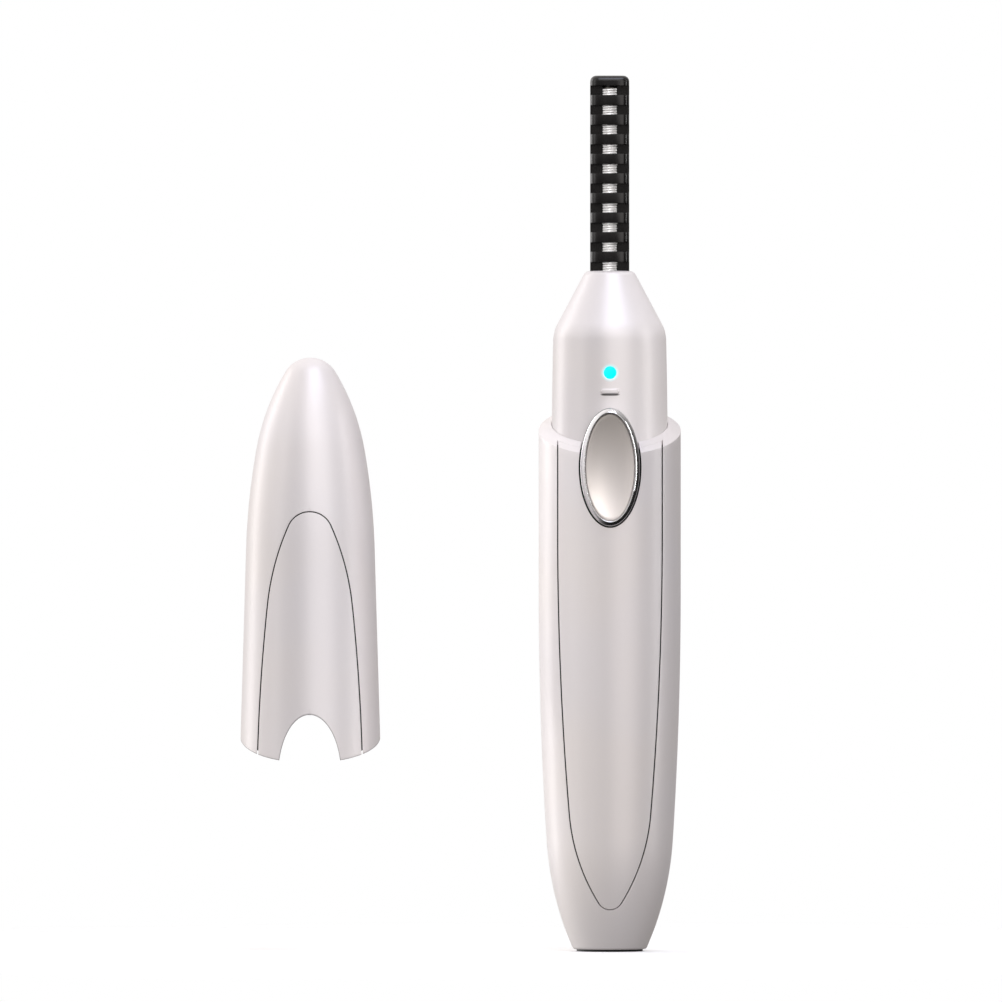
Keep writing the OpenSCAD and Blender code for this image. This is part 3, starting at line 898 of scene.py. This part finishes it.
def make_coil():
    """Fine wire wound in one long helix up the heater core."""
    bm = bmesh.new()
    wire_r, pitch = 0.165, 0.355
    axis_y = (coil_lo.y + coil_hi.y) / 2
    turn_r = coil_hi.x - wire_r
    length = coil_hi.z - coil_lo.z - 2 * wire_r
    turns = round(length / pitch)
    steps, sides = 32, 8
    rings = []
    for k in range(turns * steps + 1):
        a = 2 * math.pi * k / steps
        middle_z = coil_lo.z + wire_r + length * k / (turns * steps)
        ring = []
        for b in round_turn(sides):
            r, z = turn_r + wire_r * math.cos(b), middle_z + wire_r * math.sin(b)
            ring.append(bm.verts.new((r * math.cos(a), axis_y + r * math.sin(a), z)))
        rings.append(ring)
    ring_faces(bm, rings, close=True)
    finish_piece("heater_coil", bm, "wand", looks["coil_wire"], smooth=80)


COMB_BORE_R, COMB_BORE_Y = 1.5, -0.45
SLOT_FRONT = -1.3                 # the slots are cut back to here
SLOT_PITCH, SLOT_H, SLOT_FIRST_Z, SLOTS = 2.84, 1.38, 99.2, 10


def comb_outside(inset, slotted):
    """Right half of the comb in plan, from the middle of its back to its front or slot."""
    half_w, half_d = comb_hi.x - inset, comb_hi.y - inset
    corner = 1.3 - inset
    turn = even(0, math.pi / 2, 6)
    side_x, side_y = half_w - corner, half_d - corner
    points = [(side_x * t, half_d) for t in (0.0, 0.5)]
    points += [(side_x + corner * math.sin(a), side_y + corner * math.cos(a)) for a in turn]
    if slotted:
        return points + [(half_w, SLOT_FRONT)] * (len(turn) + 2)
    points += [(side_x + corner * math.cos(a), -side_y - corner * math.sin(a)) for a in turn]
    return points + [(side_x * t, -half_d) for t in (0.5, 0.0)]


def comb_inside(window):
    """Right half of the bore, from front to back. window is the half width of a slot's opening."""
    lip_back = SLOT_FRONT + 0.2
    meets = math.acos((COMB_BORE_Y - lip_back) / COMB_BORE_R)

    def bore(angles):
        r = COMB_BORE_R
        return [(r * math.sin(a), COMB_BORE_Y - r * math.cos(a)) for a in angles]

    around = bore(even(meets, math.pi, 8))
    if window is None:
        return bore(even(0, meets, 4)[:-1]) + around
    return [(window, SLOT_FRONT)] * 2 + [(window, lip_back)] * 2 + around


def window_half_width(t):
    """Half width of a slot's opening, from its foot (t = 0) to its top (t = 1): waisted in the
    middle and flared near the top."""
    waist, ends, flare, flare_from = 0.93, 0.14, 0.2, 0.8
    top = max(0.0, t - flare_from) / (1 - flare_from)
    return waist + ends * (2 * t - 1) ** 2 + flare * top


def stack_faces(bm, rows):
    """Joins rows of vertices, leaving out the strip where the two halves of the comb meet."""
    for low, high in zip(rows, rows[1:]):
        for quad in zip(low, low[1:], high[1:], high):
            if any(abs(v.co.x) > 1e-6 for v in quad):
                bm.faces.new(quad)


def comb_levels():
    """Heights up the comb to the top of its bore, each with how far up a slot it is, or None."""
    bore_top = 125.6
    levels = [(comb_lo.z, None)]
    for i in range(SLOTS):
        foot = SLOT_FIRST_Z + SLOT_PITCH * i - SLOT_H / 2
        levels.append((foot, None))
        levels += [(foot + SLOT_H * t, t) for t in even(0, 1, 10)]
        levels.append((foot + SLOT_H, None))
    levels.append((bore_top, None))
    return levels


def comb_half(bm, side, levels):
    """One half of the comb, to the right (side 1) or the left (side -1)."""
    def row(z, plan):
        return [bm.verts.new((side * x, y, z)) for x, y in plan]

    outer, inner = [], []
    for z, t in levels:
        slotted = t is not None
        outer.append(row(z, comb_outside(0, slotted)))
        inner.append(row(z, comb_inside(window_half_width(t) if slotted else None)))
    rows = [o + n for o, n in zip(outer, inner)]
    stack_faces(bm, rows)
    bm.faces.new(rows[0])
    bm.faces.new(inner[-1])
    tip_round = 0.85
    tip = [outer[-1]]
    for a in even(0, math.pi / 2, 6):
        inset = tip_round * (1 - math.cos(a))
        z = comb_hi.z - tip_round * (1 - math.sin(a))
        tip.append(row(z, comb_outside(inset, False)))
    stack_faces(bm, tip)
    bm.faces.new(tip[-1])


def make_comb():
    """Glossy black guard: a rounded bar, bored for the heater, with ten slots across its front."""
    bm = bmesh.new()
    weights = layer_of(bm.edges.layers, "bevel_weight_edge")
    levels = comb_levels()
    right_and_left = (1, -1)
    for side in right_and_left:
        comb_half(bm, side, levels)
    bmesh.ops.remove_doubles(bm, verts=bm.verts, dist=1e-5)
    bmesh.ops.dissolve_degenerate(bm, edges=bm.edges, dist=1e-6)
    fin_levels = set()                               # where a slot starts or ends
    for (z, t), (_, u) in zip(levels, levels[1:]):
        if (t is None) != (u is None):
            fin_levels.add(round(z, 4))
    for e in bm.edges:
        a, b = e.verts
        level = abs(a.co.z - b.co.z) < 1e-6 and round(a.co.z, 4) in fin_levels
        if level and min(a.co.y, b.co.y) < SLOT_FRONT - 0.05 and len(e.link_faces) == 2:
            e[weights] = 1.0
    finish_piece("comb_guard", bm, "wand", looks["comb_black"], bevel=0.10, smooth=35)


# ------------------------ pieces kept from the CAD

def dress_cad_nodes():
    """CAD pieces whose shape is already right get their finish, soft edges and smooth shading."""
    edge, sharp = 0.06 * MM, math.radians(40)
    slots = {s["node"]: s["material_slot"] for s in frame["record"]["subparts"]}
    for name, obj in nodes.items():
        if obj.hide_render:
            continue
        obj.data.materials.clear()
        obj.data.materials.append(looks[slots[name]])
        weld = obj.modifiers.new("weld", "WELD")
        weld.merge_threshold = 1e-6
        soften = obj.modifiers.new("edges", "BEVEL")
        soften.width = edge
        soften.segments = 2
        soften.limit_method = "ANGLE"
        soften.angle_limit = sharp
        obj.data.shade_smooth()
        obj.data.set_sharp_from_angle(angle=sharp)


# ------------------------ stage, light and camera

# brightness of the room: its dimmest and brightest side, and the share left round the camera
ROOM_LIGHT = (0.36, 0.92, 0.55)
ROOM_REFLECTED = (0.03, 1.25, 0.3)


def radial_floor():
    """A pale floor that fades into the background away from the object. It is left out of what
    the object reflects, so it does not light the object from below."""
    full_to, gone_at, floor_r = 0.07, 0.16, 0.18     # metres from the wand
    below = 0.00002                                  # keeps it just clear of the foot
    m = Nodes("floor")
    fade = m.spread(m.far_from((0, 0, 0)), 0.0, 1.0, full_to, gone_at, smooth=True)
    tone = m.mix(m.spread(m.noise(0.02), 0, 1), rgb(0.93, 0.93, 0.935), rgb(0.95, 0.95, 0.95))
    floor = m.node("BsdfPrincipled", Roughness=0.7)
    m.put(floor.inputs["Emission Color"], tone)
    m.put(floor.inputs["Emission Strength"], 0.25)
    m.put(floor.inputs["Base Color"], tone)
    clear = m.node("BsdfTransparent")
    unseen = m.maths("SUBTRACT", 1.0, m.node("LightPath").outputs["Is Camera Ray"])
    both = m.node("MixShader")
    m.put(both.inputs[0], m.maths("MAXIMUM", fade, unseen))
    m.put(both.inputs[1], floor.outputs[0])
    m.put(both.inputs[2], clear.outputs[0])
    m.put(m.out.inputs["Surface"], both.outputs[0])
    bm = bmesh.new()
    bmesh.ops.create_circle(bm, cap_ends=True, segments=96, radius=floor_r)
    mesh = bpy.data.meshes.new("floor")
    bm.to_mesh(mesh)
    bm.free()
    obj = bpy.data.objects.new("floor", mesh)
    bpy.context.scene.collection.objects.link(obj)
    obj.location.z = -below
    mesh.materials.append(m.mat)


def studio_world():
    """White behind the object; a soft room for everything else, brightest above and to the left
    and dim where the camera stands."""
    world = bpy.data.worlds.new("studio")
    bpy.context.scene.world = world
    world.use_nodes = True
    t = world.node_tree
    t.nodes.clear()
    bright_side, camera_side = (-0.55, 0.1, 0.8), (0.25, -1.0, -0.25)
    facing_away, facing = -0.7, 0.95             # cosines between which a side fades in

    def node(kind, **values):
        n = t.nodes.new("ShaderNode" + kind)
        for key, value in values.items():
            setattr(n, key, value)
        return n

    def lobe(source, direction, low, high):
        """Brightness from the direction a ray leaves in: low facing away, high facing it."""
        dot = node("VectorMath", operation="DOT_PRODUCT")
        dot.inputs[1].default_value = Vector(direction).normalized()
        t.links.new(source, dot.inputs[0])
        ramp = node("MapRange", interpolation_type="SMOOTHSTEP")
        for key, value in (("From Min", facing_away), ("From Max", facing),
                           ("To Min", low), ("To Max", high)):
            ramp.inputs[key].default_value = value
        t.links.new(dot.outputs["Value"], ramp.inputs["Value"])
        return ramp.outputs[0]

    coords = node("TexCoord").outputs["Generated"]
    paths = node("LightPath")

    def brightness(dim, bright, front):
        both = node("Math", operation="MULTIPLY")
        t.links.new(lobe(coords, bright_side, dim, bright), both.inputs[0])
        t.links.new(lobe(coords, camera_side, 1.0, front), both.inputs[1])
        return both.outputs[0]

    strength = node("Mix")
    t.links.new(paths.outputs["Is Glossy Ray"], strength.inputs[0])
    t.links.new(brightness(*ROOM_LIGHT), strength.inputs[2])
    t.links.new(brightness(*ROOM_REFLECTED), strength.inputs[3])
    room = node("Background")
    room.inputs["Color"].default_value = rgb(1.0, 0.965, 0.95)
    t.links.new(strength.outputs[0], room.inputs["Strength"])
    seen = node("Background")
    seen.inputs["Color"].default_value = rgb(1, 1, 1)
    mix = node("MixShader")
    t.links.new(paths.outputs["Is Camera Ray"], mix.inputs[0])
    t.links.new(room.outputs[0], mix.inputs[1])
    t.links.new(seen.outputs[0], mix.inputs[2])
    t.links.new(mix.outputs[0], node("OutputWorld").inputs["Surface"])


LIGHTS_AIM = Vector((-0.016, 0, 0.065))          # the middle of the picture


def soft_light(name, azimuth, height, away, size, power, colour=(1, 1, 1), diffuse=True,
               glossy=True, only=()):
    """An area light aimed at the middle of the picture. azimuth is in degrees round from the
    front, positive to the right; height in degrees above level; away and size in metres; power
    in watts. If only names pieces, it lights no others."""
    data = bpy.data.lights.new(name, "AREA")
    data.shape = "RECTANGLE"
    data.size, data.size_y = size
    data.energy = power
    data.color = colour
    obj = bpy.data.objects.new(name, data)
    bpy.context.scene.collection.objects.link(obj)
    az, up = math.radians(azimuth), math.radians(height)
    offset = Vector((math.sin(az) * math.cos(up), -math.cos(az) * math.cos(up), math.sin(up)))
    obj.location = LIGHTS_AIM + away * offset
    obj.rotation_mode = "QUATERNION"
    obj.rotation_quaternion = (-offset).to_track_quat("-Z", "Y")
    obj.visible_diffuse = diffuse
    obj.visible_glossy = glossy
    if only:
        lit = bpy.data.collections.new(name + "_lights")
        for piece in only:
            lit.objects.link(pieces[piece])
        obj.light_linking.receiver_collection = lit


def make_camera():
    """Level with the middle of the wand, straight in front, through a very long lens."""
    view_width, view_x, view_z = 145.3, -15.76, 65.25      # what fills the picture, and its middle
    data = bpy.data.cameras.new("camera")
    data.lens = 600.0
    data.sensor_width = 36.0
    distance = view_width * MM * data.lens / data.sensor_width
    data.clip_end = distance * 10
    obj = bpy.data.objects.new("camera", data)
    bpy.context.scene.collection.objects.link(obj)
    obj.location = (view_x * MM, -distance, view_z * MM)
    obj.rotation_euler = (math.radians(90), 0, 0)
    bpy.context.scene.camera = obj


make_barrel()
make_neck()
make_bezel()
make_button()
make_light()
make_coil()
make_comb()
make_cap()
dress_cad_nodes()

radial_floor()
studio_world()
NECK_AND_CAP = ("neck_shell", "cap_shell", "cap_front_panel")
BARREL_AND_COMB = ("barrel_casing", "front_panel", "button_bezel", "comb_guard", "heater_coil")
soft_light("left", -60, 12, 0.9, (0.2, 0.8), 0.5)
soft_light("back_left", -118, 12, 0.9, (0.25, 0.8), 1.65)
soft_light("front_left", -32, 10, 1.0, (0.5, 0.5), 2.75, (1.0, 0.99, 0.98), glossy=False,
           only=BARREL_AND_COMB)
soft_light("front_right", 26, 8, 1.0, (0.7, 0.9), 2.5, (1.0, 0.95, 0.93), only=BARREL_AND_COMB)
soft_light("front_high", 4, 38, 1.0, (0.5, 0.3), 0.7, diffuse=False)
soft_light("top", 24, 62, 0.9, (0.6, 0.4), 2.3, (0.87, 0.92, 1.12))
soft_light("right", 84, 10, 0.9, (0.08, 0.6), 1.0)
soft_light("cap_front", 17, 14, 1.0, (0.9, 0.9), 4.1, (1.0, 0.975, 0.965), only=NECK_AND_CAP)
soft_light("cap_right", 75, 14, 0.9, (0.4, 0.8), 1.6, (1.0, 0.97, 0.95), glossy=False,
           only=NECK_AND_CAP)
soft_light("button_front", 35, 32, 1.0, (0.5, 0.5), 4.6, (1.0, 0.97, 0.93), only=("power_button",))
soft_light("coil_front", -10, 12, 1.0, (0.4, 0.4), 5.0, only=("heater_coil",))
make_camera()
bpy.context.scene.view_settings.view_transform = "Standard"
